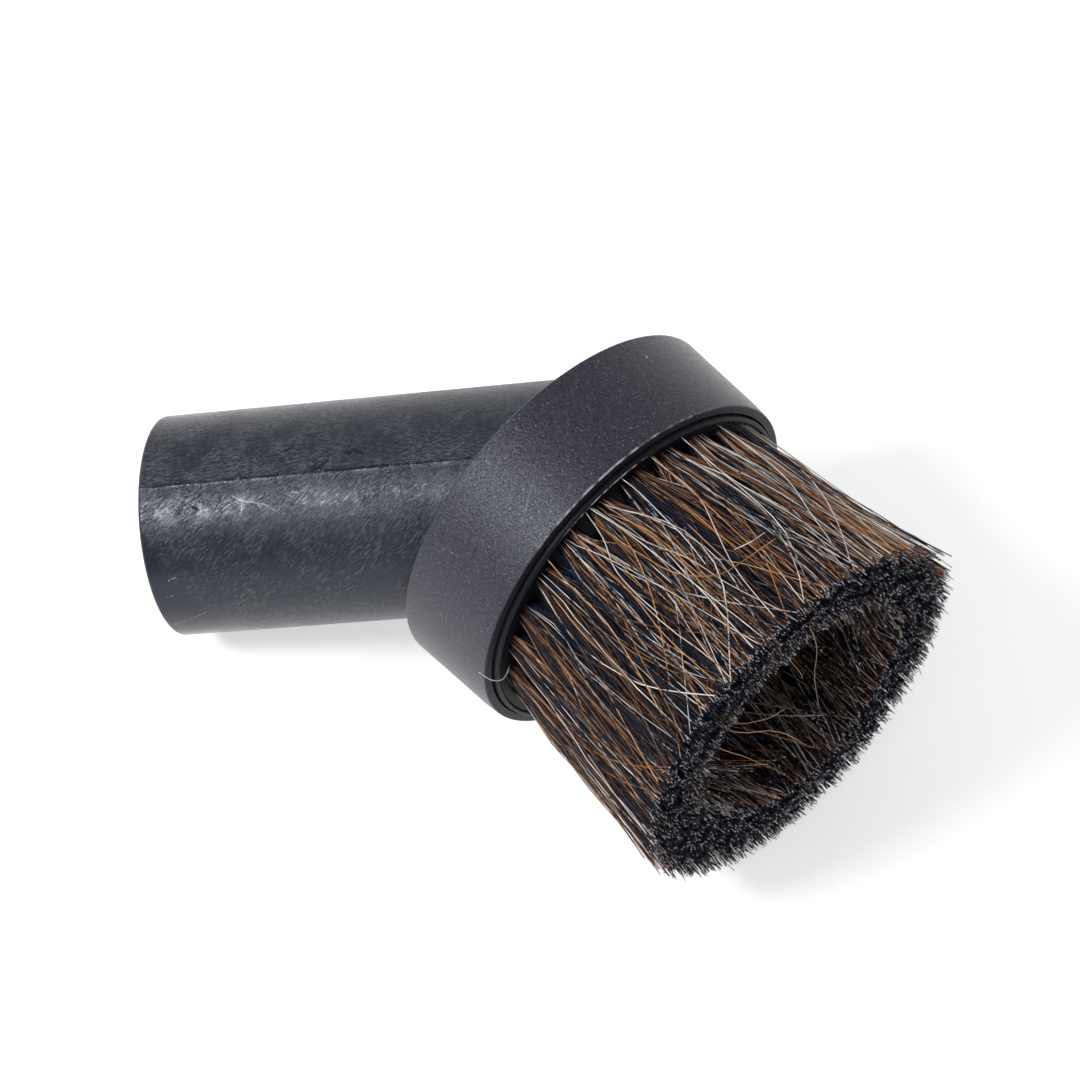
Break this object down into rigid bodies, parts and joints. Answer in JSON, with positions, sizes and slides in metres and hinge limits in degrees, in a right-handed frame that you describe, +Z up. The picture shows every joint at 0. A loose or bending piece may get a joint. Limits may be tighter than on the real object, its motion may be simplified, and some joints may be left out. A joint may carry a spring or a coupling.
{
  "type": "vacuum dusting brush",
  "caption": "Round dusting brush head with horsehair tufts, on a short angled tube that pushes onto a vacuum wand.",
  "frame": {"origin": "on the table under the middle of the brush as it lies on its bristle tips, its collar and its tube's mouth", "axes": "+Z up; +X along the bristles, towards their tips; the tube leaves towards -X and -Y and dips by 13.5 degrees"},
  "size_m": [0.1176, 0.0898, 0.0658],
  "materials": {
    "housing_plastic": "satin moulded, fine grain, light scuffs",
    "ring_plastic": "satin moulded",
    "horsehair": "natural hair, black with brown and pale strands",
    "anchor_wire": "flat wire"
  },
  "bodies": {
    "root": {"housing": "housing_plastic", "bristle_ring": "ring_plastic", "tuft_01": "horsehair", "tuft_02": "horsehair", "tuft_03": "horsehair", "tuft_04": "horsehair", "tuft_05": "horsehair", "tuft_06": "horsehair", "tuft_07": "horsehair", "tuft_08": "horsehair", "tuft_09": "horsehair", "tuft_10": "horsehair", "tuft_11": "horsehair", "tuft_12": "horsehair", "tuft_13": "horsehair", "tuft_14": "horsehair", "tuft_15": "horsehair", "tuft_16": "horsehair", "tuft_17": "horsehair", "tuft_18": "horsehair", "tuft_19": "horsehair", "tuft_20": "horsehair", "tuft_21": "horsehair", "tuft_22": "horsehair", "tuft_23": "horsehair", "tuft_24": "horsehair", "anchor_01": "anchor_wire", "anchor_02": "anchor_wire", "anchor_03": "anchor_wire", "anchor_04": "anchor_wire", "anchor_05": "anchor_wire", "anchor_06": "anchor_wire", "anchor_07": "anchor_wire", "anchor_08": "anchor_wire", "anchor_09": "anchor_wire", "anchor_10": "anchor_wire", "anchor_11": "anchor_wire", "anchor_12": "anchor_wire", "anchor_13": "anchor_wire", "anchor_14": "anchor_wire", "anchor_15": "anchor_wire", "anchor_16": "anchor_wire", "anchor_17": "anchor_wire", "anchor_18": "anchor_wire", "anchor_19": "anchor_wire", "anchor_20": "anchor_wire", "anchor_21": "anchor_wire", "anchor_22": "anchor_wire", "anchor_23": "anchor_wire", "anchor_24": "anchor_wire"}
  },
  "joints": []
}
